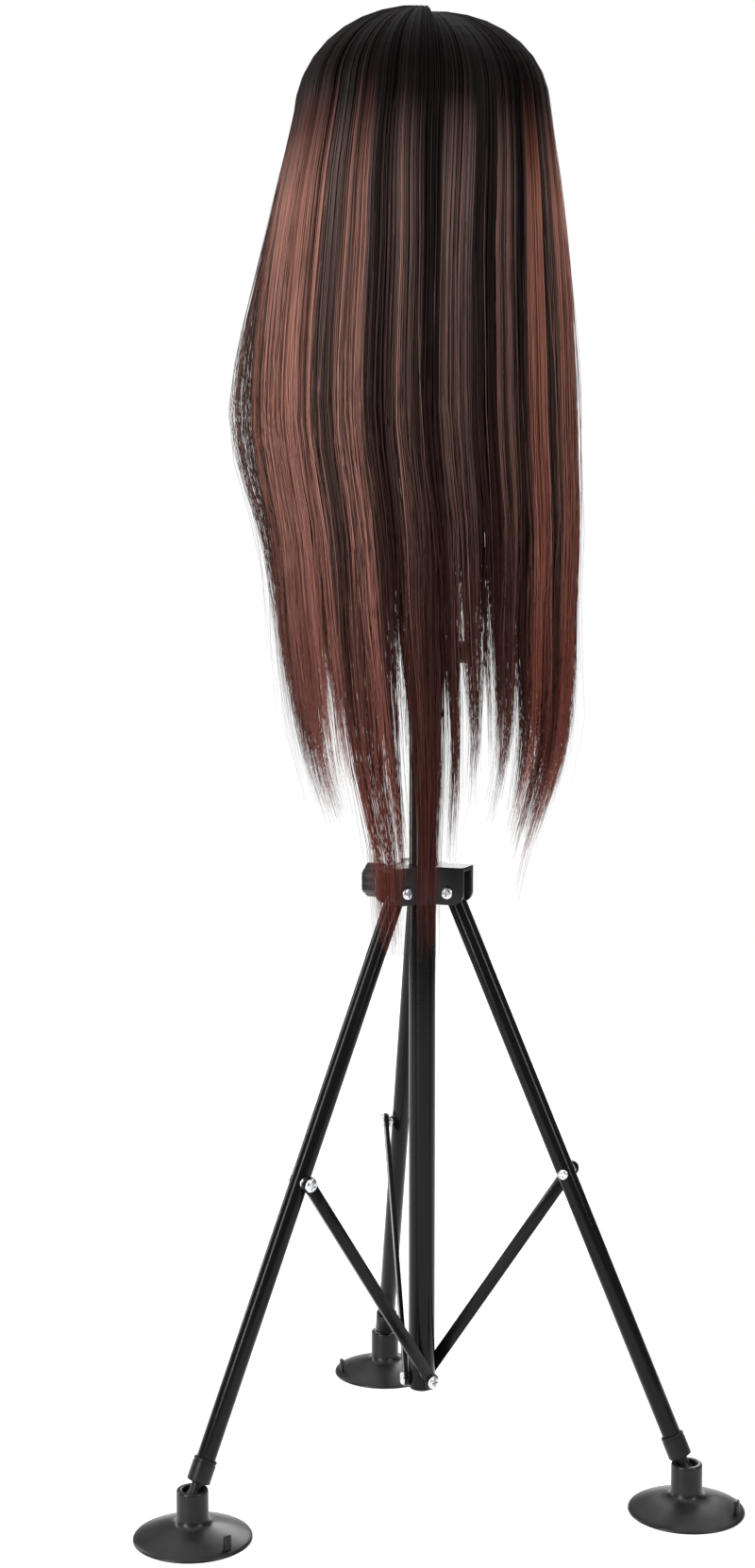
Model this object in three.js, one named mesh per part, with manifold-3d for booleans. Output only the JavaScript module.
// A mannequin training head with long hair, on a folding tripod stand with suction-cup feet.
// Millimetres, +Z up, floor at z = 0. The face looks along +Y, so -X is the head's own left.
// Every piece is built around the upright column. The whole is then shifted along Y, so that
// the middle of its outline on the floor is the origin.
import * as THREE from 'three';
import { mergeVertices } from 'three/addons/utils/BufferGeometryUtils.js';
import Module from 'manifold-3d';

const wasm = await Module();
wasm.setup();

// ---- driving dimensions ----
const GAP = 0.3; // left between pieces that touch
const ROUND = 20; // sides of a round piece
const PIN_SIDES = 12; // sides of a pin or bolt

const LEG_AZIMUTHS = { rear: 90, left: 210, right: 330 };
const FOOT_R = 208; // from the column's axis to each ankle
const ANKLE_Z = 29;
const PIVOT_R = 24; // from the column's axis to each leg's hinge pin
const PIVOT_Z = 447;
const SPLAY = Math.atan2(FOOT_R - PIVOT_R, PIVOT_Z - ANKLE_Z);
const LEG_LENGTH = Math.hypot(FOOT_R - PIVOT_R, PIVOT_Z - ANKLE_Z);
const LEG_TUBE_R = 7;
const LEG_WALL = 1.2;
const PIN_R = 2.5;
const PIN_HOLE_R = 2.8;

const COLUMN_R = 10;
const COLUMN_WALL = 1.3;
const COLUMN_BOTTOM = 62;
const COLUMN_TOP = 616;
const INNER_R = 8;
const INNER_BOTTOM = 360;
const INNER_TOP = 746;

const BRACE_SPAN = 223; // from a leg's hinge pin down to its brace bolt
const BRACE_FOOT_Z = 71;
const BRACE_THICK = 3;
const BRACE_OFFSET = COLUMN_R + 0.5; // inner face of a brace, beside the column's axis
const BRACE_TOP_X = PIVOT_R + BRACE_SPAN * Math.sin(SPLAY);
const BRACE_TOP_Z = PIVOT_Z - BRACE_SPAN * Math.cos(SPLAY);
const BOLT_HEAD_R = 5;
const BOLT_HEAD_THICK = 2.6;

const HUB_BOTTOM = 437;
const HUB_TOP = 466;
const HUB_REACH = 36;
const CHEEK_INNER = LEG_TUBE_R + 0.5;
const CHEEK_THICK = 4;
const HUB_KNOB_AZIMUTH = 150;

const CUP_R = 42.5;
const SOCKET_R = 11.4;
const SOCKET_HOLE_R = 7;
const SOCKET_TOP = 36;
const BALL_R = 6.6;
const TAB_AZIMUTHS = { rear: 95, left: 97, right: 0 }; // of each release tab, from its leg's

const HEIGHT_KNOB_Z = 624;
const TILT_Z = 762;
const NECK_BOTTOM = 784;
const CROWN_TOP = 1077;
const BROW_Z = 1010; // where the dome of the skull starts
const SKIN = 4;
const EYE = { x: 32, y: 68.5, z: 964, r: 12 };
const EAR = { x: 74, y: -4, z: 950 };
const HAIR_THICK = 13;
const HAIR_CAP_BOTTOM = 884;
const CAP_CLEAR = 2.5; // between the scalp and the hair cap
const FACE_SIDES = 34; // sides of the head's section where it shows
const HIDDEN_SIDES = 20; // and where it is hidden

// Level, reach to the front and to the back of the column's axis, half width, and how square
// the section is (2 is an ellipse), for the neck, jaw and skull up to BROW_Z.
const HEAD_LEVELS = [
  [784, 47, 66, 57, 2.0],
  [815, 41, 63, 54.5, 2.0],
  [840, 42, 62, 54.5, 2.0],
  [850, 56, 63, 56, 1.8],
  [858, 80, 65, 58, 1.65],
  [868, 89, 67, 60.5, 1.65],
  [893, 91, 74, 65.5, 1.75],
  [925, 92, 84, 70.5, 1.9],
  [960, 94, 90, 74, 2.1],
  [985, 97, 92, 76, 2.25],
  [BROW_Z, 98, 90, 76, 2.3],
];

// ---- finishes ----
const finish = (color, roughness, metalness) =>
  new THREE.MeshStandardMaterial({ color, roughness, metalness });
const blackPaint = finish(0x1b1b1c, 0.35, 0.3);
const blackPlastic = finish(0x171717, 0.55, 0);
const zinc = finish(0xb9bcc0, 0.3, 0.9);
const rubber = finish(0x2e2e2f, 0.6, 0);
const skinTone = finish(0xd9b49c, 0.5, 0);
const foam = finish(0xcfc6b4, 0.9, 0);
const hair = finish(0x3b2320, 0.45, 0);
const eyeWhite = finish(0xe9e6e0, 0.15, 0);

// ---- shaping ----
const part = new THREE.Group();
part.position.y = -FOOT_R / 4;

// One closed mesh from any geometry: shared corners are joined, slivers are dropped, and the
// faces are turned outwards.
function closed(geometry) {
  const plain = geometry.clone();
  plain.deleteAttribute('normal');
  plain.deleteAttribute('uv');
  const merged = mergeVertices(plain, 1e-3);
  const places = merged.attributes.position;
  const corner = (i) => new THREE.Vector3().fromBufferAttribute(places, i);
  const faces = [];
  let volume = 0;
  for (let i = 0; i < merged.index.count; i += 3) {
    const [a, b, c] = [0, 1, 2].map((k) => merged.index.getX(i + k));
    if (a === b || b === c || c === a) continue;
    faces.push([a, b, c]);
    volume += corner(a).dot(corner(b).cross(corner(c)));
  }
  merged.setIndex(faces.flatMap(([a, b, c]) => (volume < 0 ? [a, c, b] : [a, b, c])));
  return merged;
}

function toSolid(geometry) {
  const whole = closed(geometry);
  return new wasm.Manifold(new wasm.Mesh({
    numProp: 3,
    vertProperties: new Float32Array(whole.attributes.position.array),
    triVerts: new Uint32Array(whole.index.array),
  }));
}

function toGeometry(solid) {
  const { vertProperties, triVerts } = solid.getMesh();
  const geometry = new THREE.BufferGeometry();
  geometry.setAttribute('position', new THREE.BufferAttribute(vertProperties, 3));
  geometry.setIndex(new THREE.BufferAttribute(triVerts, 1));
  return geometry;
}

// One geometry from those to join, less those to cut away.
function shaped(joined, cut = []) {
  let [solid, ...others] = joined.map(toSolid);
  for (const other of others) solid = solid.add(other);
  for (const other of cut.map(toSolid)) solid = solid.subtract(other);
  return toGeometry(solid);
}

function add(name, geometry, material, parent = part) {
  const mesh = new THREE.Mesh(closed(geometry), material);
  mesh.geometry.computeVertexNormals();
  mesh.name = name;
  parent.add(mesh);
  return mesh;
}

// Turned about the Z axis from [radius, height] points.
function turned(points, sides = ROUND) {
  const profile = points.map(([r, z]) => new THREE.Vector2(r, z));
  return new THREE.LatheGeometry(profile, sides).rotateX(Math.PI / 2);
}

const tube = (outer, inner, bottom, top, sides = ROUND) =>
  turned([[inner, bottom], [outer, bottom], [outer, top], [inner, top], [inner, bottom]], sides);

// A round bar along Z between two heights.
const bar = (radius, bottom, top, sides = ROUND) =>
  turned([[0, bottom], [radius, bottom], [radius, top], [0, top]], sides);

// Stood-up geometry laid along +X or along +Y.
const alongX = (geometry) => geometry.rotateY(Math.PI / 2);
const alongY = (geometry) => geometry.rotateX(-Math.PI / 2);

// A flat plate whose outline is drawn in the plane of Y and Z, between two values of x.
function plateYZ(outline, from, to) {
  const plate = new THREE.ExtrudeGeometry(outline, { depth: to - from, bevelEnabled: false,
    curveSegments: 6 });
  return plate.rotateX(Math.PI / 2).rotateZ(Math.PI / 2).translate(from, 0, 0);
}

// A flat plate whose outline is drawn in the plane of X and Z, between two values of y.
function plateXZ(outline, from, to) {
  const plate = new THREE.ExtrudeGeometry(outline, { depth: to - from, bevelEnabled: false,
    curveSegments: 6 });
  return plate.rotateX(Math.PI / 2).translate(0, to, 0);
}

// A hand grip along +Z with rounded lobes all round.
function gripped(radius, lobes, dip, bottom, top) {
  const outline = new THREE.Shape();
  const steps = lobes * 4;
  for (let i = 0; i < steps; i += 1) {
    const angle = (2 * Math.PI * i) / steps;
    const reach = radius - dip * (0.5 - 0.5 * Math.cos(lobes * angle));
    const to = [reach * Math.cos(angle), reach * Math.sin(angle)];
    if (i === 0) outline.moveTo(...to);
    else outline.lineTo(...to);
  }
  return new THREE.ExtrudeGeometry(outline, { depth: top - bottom - 2, bevelThickness: 1,
    bevelSize: 1, bevelOffset: -1, bevelSegments: 1 }).translate(0, 0, bottom + 1);
}

// A dished screw or nut head along +Z, its flat side at the bottom.
const buttonHead = (bottom, radius = BOLT_HEAD_R, thick = BOLT_HEAD_THICK) =>
  turned([[0, bottom], [radius, bottom], [radius, bottom + thick * 0.5],
    [radius * 0.8, bottom + thick], [0, bottom + thick]], PIN_SIDES);

// ---- column: outer tube, foot plug and clamp collar ----
add('column_tube', tube(COLUMN_R, COLUMN_R - COLUMN_WALL, COLUMN_BOTTOM + 3, COLUMN_TOP), blackPaint);

const plugR = COLUMN_R - COLUMN_WALL - GAP;
add('column_foot_plug', turned([[0, COLUMN_BOTTOM], [COLUMN_R - 2.5, COLUMN_BOTTOM],
  [COLUMN_R - 0.2, COLUMN_BOTTOM + 2.2], [COLUMN_R - 0.2, COLUMN_BOTTOM + 3 - GAP],
  [plugR, COLUMN_BOTTOM + 3 - GAP], [plugR, COLUMN_BOTTOM + 22], [0, COLUMN_BOTTOM + 22]]),
blackPlastic);

const collarBottom = COLUMN_TOP - 12;
const collarTop = COLUMN_TOP + 24;
const collarBody = turned([[COLUMN_R + 0.4, collarBottom], [13, collarBottom], [14, collarBottom + 1.5],
  [14, COLUMN_TOP + 16], [12.5, collarTop - 1], [11.5, collarTop], [INNER_R + 0.4, collarTop],
  [INNER_R + 0.4, COLUMN_TOP + 0.4], [COLUMN_R + 0.4, COLUMN_TOP + 0.4],
  [COLUMN_R + 0.4, collarBottom]]);
const collarBoss = alongX(bar(7, 11, 18.5)).translate(0, 0, HEIGHT_KNOB_Z);
const collarBore = alongX(bar(3.3, 5, 22)).translate(0, 0, HEIGHT_KNOB_Z);
const collarClear = bar(INNER_R + 0.4, COLUMN_TOP + 0.5, collarTop + 5);
add('clamp_collar', shaped([collarBody, collarBoss], [collarBore, collarClear]), blackPlastic);

const heightGrip = gripped(8.2, 8, 1.1, 19, 36);
const heightScrew = bar(PIN_R + 0.3, INNER_R + GAP + 0.1, 24, PIN_SIDES);
add('height_knob', alongX(shaped([heightGrip, heightScrew])).translate(0, 0, HEIGHT_KNOB_Z),
  blackPlastic);

// ---- hub: a barrel that slides on the column, with a forked arm for each leg ----
function armCheek(side) {
  const outline = new THREE.Shape();
  outline.moveTo(9, HUB_BOTTOM + 1);
  outline.lineTo(HUB_REACH - 8, HUB_BOTTOM + 1);
  outline.absarc(HUB_REACH - 8, HUB_BOTTOM + 9, 8, -Math.PI / 2, 0, false);
  outline.lineTo(HUB_REACH, HUB_TOP - 1);
  outline.lineTo(9, HUB_TOP - 1);
  outline.closePath();
  const inner = side > 0 ? CHEEK_INNER : -CHEEK_INNER - CHEEK_THICK;
  return plateXZ(outline, inner, inner + CHEEK_THICK);
}

function armTop() {
  const outline = new THREE.Shape();
  const half = CHEEK_INNER + CHEEK_THICK;
  outline.moveTo(0, -half);
  outline.lineTo(HUB_REACH - 4, -half);
  outline.absarc(HUB_REACH - 4, -half + 5, 5, -Math.PI / 2, 0, false);
  outline.absarc(HUB_REACH - 4, half - 5, 5, 0, Math.PI / 2, false);
  outline.lineTo(0, half);
  outline.closePath();
  return new THREE.ExtrudeGeometry(outline, { depth: 3, bevelEnabled: false, curveSegments: 6 })
    .translate(0, 0, HUB_TOP - 3);
}

const onAzimuth = (geometry, azimuth) => geometry.rotateZ(THREE.MathUtils.degToRad(azimuth));
const arms = Object.values(LEG_AZIMUTHS);
const hubBarrel = bar(13.4, HUB_BOTTOM, HUB_TOP - 1);
const hubCap = bar(20, HUB_TOP - 3, HUB_TOP);
const hubCheeks = arms.flatMap((azimuth) =>
  [1, -1].map((side) => onAzimuth(armCheek(side), azimuth)));
const hubTops = arms.map((azimuth) => onAzimuth(armTop(), azimuth));
const hubBoss = onAzimuth(alongX(bar(6.5, 11, 21)).translate(0, 0, 452), HUB_KNOB_AZIMUTH);
const hubPinHoles = arms.map((azimuth) =>
  onAzimuth(alongY(bar(PIN_HOLE_R, -15, 15, PIN_SIDES)).translate(PIVOT_R, 0, PIVOT_Z), azimuth));
const hubBore = bar(COLUMN_R + 0.4, HUB_BOTTOM - 5, HUB_TOP + 5);
const hubScrewBore = onAzimuth(alongX(bar(3.3, 5, 25)).translate(0, 0, 452), HUB_KNOB_AZIMUTH);
add('hub', shaped([hubBarrel, hubCap, ...hubCheeks, ...hubTops, hubBoss],
  [hubBore, hubScrewBore, ...hubPinHoles]), blackPlastic);

const hubGrip = gripped(13, 6, 1.8, 30.5, 44.5);
const hubNeck = bar(5.5, 21.5, 31);
const hubScrew = bar(PIN_R + 0.3, COLUMN_R + 0.5, 25, PIN_SIDES);
add('hub_knob', onAzimuth(alongX(shaped([hubGrip, hubNeck, hubScrew])).translate(0, 0, 452),
  HUB_KNOB_AZIMUTH), blackPlastic);

// ---- one leg with its pins, brace, end cap and suction cup, in the plane of its azimuth ----
function suctionCup(tabAzimuth) {
  const dome = turned([[0, 7], [20, 6], [35, 2.4], [37.5, 0], [CUP_R, 0], [CUP_R, 1.6],
    [38, 3.4], [26, 8], [15, 11], [SOCKET_R + 1, 12.2], [SOCKET_R, 14], [SOCKET_R, SOCKET_TOP - 1],
    [SOCKET_R - 1, SOCKET_TOP], [SOCKET_HOLE_R + 1, SOCKET_TOP], [SOCKET_HOLE_R, SOCKET_TOP - 2],
    [SOCKET_HOLE_R, ANKLE_Z - BALL_R - 0.5], [0, ANKLE_Z - BALL_R - 0.5]], 26);
  const tab = new THREE.BoxGeometry(2.6, 6, 11).translate(37.5, 0, 8);
  const rib = new THREE.BoxGeometry(4.2, 1.2, 9).translate(37.5, 0, 7.5);
  const azimuth = THREE.MathUtils.degToRad(tabAzimuth);
  return shaped([dome, tab.rotateZ(azimuth), rib.rotateZ(azimuth)]);
}

// Heights along the leg are from its hinge pin, so the ball at its foot is at -LEG_LENGTH.
function legTube() {
  const wall = tube(LEG_TUBE_R, LEG_TUBE_R - LEG_WALL, 15 - LEG_LENGTH, 6);
  const holes = [0, -BRACE_SPAN].map((along) =>
    alongY(bar(PIN_HOLE_R, -12, 12, PIN_SIDES)).translate(0, 0, along));
  return shaped([wall], holes);
}

function legEndCap() {
  const ball = [];
  for (let i = 0; i <= 6; i += 1) {
    const angle = THREE.MathUtils.degToRad(-90 + i * 25.4);
    ball.push([BALL_R * Math.cos(angle), BALL_R * Math.sin(angle)]);
  }
  ball[0][0] = 0;
  const stemR = ball[6][0];
  const capR = LEG_TUBE_R + 1.6;
  const profile = [...ball, [stemR, 12], [capR - 0.6, 12], [capR, 12.8], [capR, 28.4],
    [capR - 0.6, 29], [LEG_TUBE_R + GAP, 29], [LEG_TUBE_R + GAP, 14.7], [0, 14.7]];
  return turned(profile.map(([r, z]) => [r, z - LEG_LENGTH]));
}

// A flat link between two round lugs, drawn from its lower eye along +X.
function braceLink(length) {
  const lug = 6;
  const half = 4.7;
  const meet = Math.asin(half / lug);
  const outline = new THREE.Shape();
  outline.absarc(0, 0, lug, meet, 2 * Math.PI - meet, false);
  outline.absarc(length, 0, lug, Math.PI + meet, 3 * Math.PI - meet, false);
  outline.closePath();
  for (const x of [0, length]) {
    const eye = new THREE.Path();
    eye.absarc(x, 0, PIN_HOLE_R, 0, 2 * Math.PI, true);
    outline.holes.push(eye);
  }
  return plateXZ(outline, BRACE_OFFSET, BRACE_OFFSET + BRACE_THICK);
}

for (const [side, azimuth] of Object.entries(LEG_AZIMUTHS)) {
  const plane = new THREE.Group();
  plane.rotation.z = THREE.MathUtils.degToRad(azimuth);
  part.add(plane);

  const leg = new THREE.Group();
  leg.position.set(PIVOT_R, 0, PIVOT_Z);
  leg.rotation.y = -SPLAY;
  plane.add(leg);
  add(`leg_tube_${side}`, legTube(), blackPaint, leg);
  add(`leg_end_cap_${side}`, legEndCap(), blackPlastic, leg);

  const cheekOuter = CHEEK_INNER + CHEEK_THICK + GAP;
  const hingePin = shaped([bar(PIN_R, -cheekOuter - 0.5, cheekOuter - GAP, PIN_SIDES),
    buttonHead(cheekOuter, 4.6).rotateX(Math.PI)]);
  const hingePinMesh = add(`hub_pin_${side}`, alongY(hingePin), zinc, plane);
  hingePinMesh.position.set(PIVOT_R, 0, PIVOT_Z);
  const hingeNut = add(`hub_pin_nut_${side}`, alongY(buttonHead(cheekOuter, 4.6)), zinc, plane);
  hingeNut.position.set(PIVOT_R, 0, PIVOT_Z);

  const braceOuter = BRACE_OFFSET + BRACE_THICK + GAP;
  const boltBody = shaped([bar(PIN_R, -LEG_TUBE_R - 1, braceOuter - GAP, PIN_SIDES),
    buttonHead(LEG_TUBE_R + GAP).rotateX(Math.PI)]);
  const bolt = add(`brace_bolt_${side}`, alongY(boltBody), zinc, leg);
  const boltNut = add(`brace_nut_${side}`, alongY(buttonHead(braceOuter)), zinc, leg);
  const spacer = add(`brace_spacer_${side}`,
    alongY(tube(BOLT_HEAD_R, PIN_HOLE_R, LEG_TUBE_R + GAP, BRACE_OFFSET - GAP, PIN_SIDES)),
    zinc, leg);
  for (const piece of [bolt, boltNut, spacer]) piece.position.z = -BRACE_SPAN;

  const rise = BRACE_TOP_Z - BRACE_FOOT_Z;
  const brace = add(`brace_${side}`, braceLink(Math.hypot(BRACE_TOP_X, rise)), blackPaint, plane);
  brace.position.z = BRACE_FOOT_Z;
  brace.rotation.y = -Math.atan2(rise, BRACE_TOP_X);
  const rivet = add(`brace_foot_rivet_${side}`,
    alongY(shaped([bar(PIN_R, COLUMN_R + GAP, braceOuter + 1, PIN_SIDES), buttonHead(braceOuter)])),
    zinc, plane);
  rivet.position.z = BRACE_FOOT_Z;

  const cup = add(`suction_cup_${side}`, suctionCup(TAB_AZIMUTHS[side]), rubber, plane);
  cup.position.x = FOOT_R;
}

// ---- inner tube, tilt fork, tilt screw and the plug that holds the head ----
add('inner_tube', tube(INNER_R, INNER_R - 1.2, INNER_BOTTOM, INNER_TOP), blackPaint);

const FORK_SLOT = 8.3; // half of the gap between the fork's cheeks
const FORK_OUTER = FORK_SLOT + 5;
function roundedPlate(radius, end) {
  const outline = new THREE.Shape();
  const above = end > TILT_Z;
  outline.absarc(0, TILT_Z, radius, above ? Math.PI : 0, above ? 2 * Math.PI : Math.PI, false);
  outline.lineTo(above ? radius : -radius, end);
  outline.lineTo(above ? -radius : radius, end);
  outline.closePath();
  return outline;
}
const forkSocket = turned([[0, INNER_TOP + GAP], [INNER_R + 0.4, INNER_TOP + GAP],
  [INNER_R + 0.4, INNER_TOP - 24], [12.5, INNER_TOP - 24], [14.5, INNER_TOP - 22],
  [14.5, TILT_Z - 11], [0, TILT_Z - 11]]);
const forkCheeks = [[-FORK_OUTER, -FORK_SLOT], [FORK_SLOT, FORK_OUTER]].map(([from, to]) =>
  plateYZ(roundedPlate(11, TILT_Z - 14), from, to));
const tiltHole = alongX(bar(3.4, -20, 20, PIN_SIDES)).translate(0, 0, TILT_Z);
add('tilt_fork', shaped([forkSocket, ...forkCheeks], [tiltHole]), blackPlastic);

const tiltGrip = gripped(14, 6, 2.2, 20, 33);
const tiltNeck = bar(6, FORK_OUTER + GAP, 21);
const tiltScrew = bar(3, -FORK_OUTER, 22, PIN_SIDES);
add('tilt_knob', alongX(shaped([tiltGrip, tiltNeck, tiltScrew])).translate(0, 0, TILT_Z),
  blackPlastic);
const capNut = turned([[0, 0], [5.6, 0], [5.6, 4], [4, 5.4], [0, 6.4]], 6);
add('tilt_nut', alongX(capNut.rotateX(Math.PI)).translate(-FORK_OUTER - GAP, 0, TILT_Z), zinc);

const FLANGE_TOP = NECK_BOTTOM - GAP;
const PLUG_TOP = 846;
const plugTongue = plateYZ(roundedPlate(10, FLANGE_TOP - 3), -FORK_SLOT + GAP, FORK_SLOT - GAP);
const plugCone = turned([[0, FLANGE_TOP - 5], [24, FLANGE_TOP - 5], [26, FLANGE_TOP - 3],
  [26, FLANGE_TOP], [15, FLANGE_TOP], [12.4, PLUG_TOP - 3], [10, PLUG_TOP], [0, PLUG_TOP]]);
add('head_plug', shaped([plugTongue, plugCone], [tiltHole]), blackPlastic);

// ---- head: skin, foam core, neck bushing and eyes ----
const levelCurve = new THREE.CubicInterpolant(HEAD_LEVELS.map((row) => row[0]),
  HEAD_LEVELS.flatMap((row) => row.slice(1)), 4);

const bump = (x, z, atX, atZ, wideX, wideZ) =>
  Math.exp(-(((x - atX) / wideX) ** 2) - ((z - atZ) / wideZ) ** 2);

// How far the face stands forward of the plain form at a place seen from the front.
function faceRelief(x, z) {
  const side = Math.abs(x);
  const bridge = 7 * bump(side, z, 0, 962, 8, 24);
  const tip = 17 * bump(side, z, 0, 926, 10, 12);
  const wings = 5 * bump(side, z, 12, 921, 6, 7);
  const sockets = -8 * bump(side, z, EYE.x, EYE.z, 17, 11);
  const lips = 6 * bump(side, z, 0, 895, 20, 9) - 2 * bump(side, z, 0, 896, 24, 2.5);
  const chin = 6 * bump(side, z, 0, 869, 18, 11) - 3 * bump(side, z, 0, 882, 22, 5);
  return bridge + tip + wings + sockets + lips + chin;
}

// The head's form with its surface moved outwards by an offset, closed by a flat bottom.
// Its levels are closer together under the jaw, where the section changes fast.
function headForm(offset, bottom, sides) {
  const top = CROWN_TOP + offset;
  const step = 340 / sides;
  const levels = [];
  for (let z = bottom; z < BROW_Z; z += z > 838 && z < 868 ? step / 2 : step) levels.push(z);
  const domeRows = Math.round(sides / 5);
  for (let i = 0; i < domeRows; i += 1) {
    levels.push(BROW_Z + (top - BROW_Z) * Math.sin((i * Math.PI) / 2 / domeRows));
  }
  const places = [];
  for (const z of levels) {
    const [front, back, half, square] = levelCurve.evaluate(
      THREE.MathUtils.clamp(z, HEAD_LEVELS[0][0], BROW_Z));
    const rise = Math.max(0, (z - BROW_Z) / (top - BROW_Z));
    const shrink = (1 - rise ** 2.2) ** (1 / 2.2);
    for (let i = 0; i < sides; i += 1) {
      const angle = (2 * Math.PI * i) / sides;
      const [across, along] = [Math.cos(angle), Math.sin(angle)].map((value) =>
        Math.sign(value) * Math.abs(value) ** (2 / square));
      const reach = along > 0 ? front + offset : back + offset;
      const x = across * (half + offset) * shrink;
      const y = 4 * rise + along * reach * shrink;
      places.push(x, along > 0 ? y + faceRelief(x, z) * Math.min(1, 2 * along) : y, z);
    }
  }
  const tip = places.length / 3;
  places.push(0, 4, top, 0, 0, bottom);
  const faces = [];
  for (let row = 0; row < levels.length; row += 1) {
    for (let i = 0; i < sides; i += 1) {
      const [a, b] = [row * sides + i, row * sides + ((i + 1) % sides)];
      if (row === 0) faces.push(tip + 1, b, a);
      if (row === levels.length - 1) faces.push(a, b, tip);
      else faces.push(a, b, b + sides, a, b + sides, a + sides);
    }
  }
  const geometry = new THREE.BufferGeometry();
  geometry.setAttribute('position', new THREE.Float32BufferAttribute(places, 3));
  geometry.setIndex(faces);
  return geometry;
}

const bothSides = (make) => [make(-1), make(1)];
const eyeBall = (radius) => (side) =>
  new THREE.SphereGeometry(radius, 14, 9).translate(side * EYE.x, EYE.y, EYE.z);
const ear = (grow) => (side) =>
  new THREE.SphereGeometry(1, 10, 8).scale(9 + grow, 17 + grow, 31 + grow)
    .rotateX(THREE.MathUtils.degToRad(10)).translate(side * EAR.x, EAR.y, EAR.z);

const eyeRoom = bothSides(eyeBall(EYE.r + GAP + 0.1));
const belowNeck = NECK_BOTTOM - 20;
const inside = headForm(-SKIN, belowNeck, HIDDEN_SIDES);
const skin = toSolid(headForm(0, NECK_BOTTOM, FACE_SIDES)).add(toSolid(ear(0)(-1))).add(toSolid(ear(0)(1)));
add('head_skin', toGeometry(eyeRoom.map(toSolid).reduce((left, room) => left.subtract(room),
  skin.subtract(toSolid(inside)))), skinTone);

const BUSHING_R = 20;
const bushingTop = PLUG_TOP + 6;
add('head_core', shaped([headForm(-SKIN - 1, belowNeck, HIDDEN_SIDES)],
  [...eyeRoom, bar(BUSHING_R + GAP, NECK_BOTTOM - 5, bushingTop + GAP),
    bar(100, belowNeck - 5, NECK_BOTTOM + 1)]), foam);
add('neck_bushing', turned([[15.6, NECK_BOTTOM + 0.4], [BUSHING_R, NECK_BOTTOM + 0.4],
  [BUSHING_R, bushingTop], [12.9, bushingTop], [12.9, PLUG_TOP - 3], [15.6, NECK_BOTTOM + 0.4]]),
blackPlastic);
for (const [name, side] of [['left', -1], ['right', 1]]) {
  add(`eye_${name}`, eyeBall(EYE.r)(side), eyeWhite);
}

// ---- hair: a cap over the skull and three hanging curtains ----
const faceWindow = new THREE.Shape([[22, 860], [34, 950], [46, 1010], [66, 1036], [84, 1046],
  [160, 1046], [160, 860]].map(([y, z]) => new THREE.Vector2(y, z)));
add('hair_cap', shaped([headForm(HAIR_THICK, HAIR_CAP_BOTTOM, HIDDEN_SIDES)],
  [headForm(CAP_CLEAR, HAIR_CAP_BOTTOM - 30, HIDDEN_SIDES), ...bothSides(ear(0.6)),
    plateYZ(faceWindow, -150, 150)]), hair);

// Level, outer half width and half depth, and thickness of the hanging hair.
const CURTAIN_LEVELS = [
  [HAIR_CAP_BOTTOM - GAP, 104, 106, 18],
  [820, 112, 110, 24],
  [700, 113, 108, 22],
  [600, 107, 98, 20],
  [520, 92, 84, 14],
  [470, 78, 72, 7],
];

function curtain(fromAzimuth, toAzimuth, bottom) {
  const steps = 12;
  const places = [];
  const rows = CURTAIN_LEVELS.filter(([z]) => z >= bottom);
  for (const [z, halfWidth, halfDepth, thick] of rows) {
    for (const inwards of [0, thick]) {
      for (let i = 0; i <= steps; i += 1) {
        const step = inwards ? steps - i : i;
        const angle = THREE.MathUtils.degToRad(
          THREE.MathUtils.lerp(fromAzimuth, toAzimuth, step / steps));
        places.push((halfWidth - inwards) * Math.cos(angle), (halfDepth - inwards) * Math.sin(angle), z);
      }
    }
  }
  const ring = 2 * (steps + 1);
  const faces = [];
  for (let row = 0; row + 1 < rows.length; row += 1) {
    for (let i = 0; i < ring; i += 1) {
      const [a, b] = [row * ring + i, row * ring + ((i + 1) % ring)];
      faces.push(a, b, b + ring, a, b + ring, a + ring);
    }
  }
  for (const [row, flip] of [[0, true], [rows.length - 1, false]]) {
    for (let i = 0; i < steps; i += 1) {
      const [a, b] = [row * ring + i, row * ring + i + 1];
      const [c, d] = [row * ring + ring - 2 - i, row * ring + ring - 1 - i];
      faces.push(...(flip ? [a, c, b, a, d, c] : [a, b, c, a, c, d]));
    }
  }
  const geometry = new THREE.BufferGeometry();
  geometry.setAttribute('position', new THREE.Float32BufferAttribute(places, 3));
  geometry.setIndex(faces);
  return geometry;
}

add('hair_back', curtain(206, 334, 470), hair);
add('hair_left', curtain(130, 205, 520), hair);
add('hair_right', curtain(-25, 50, 520), hair);

export default part;
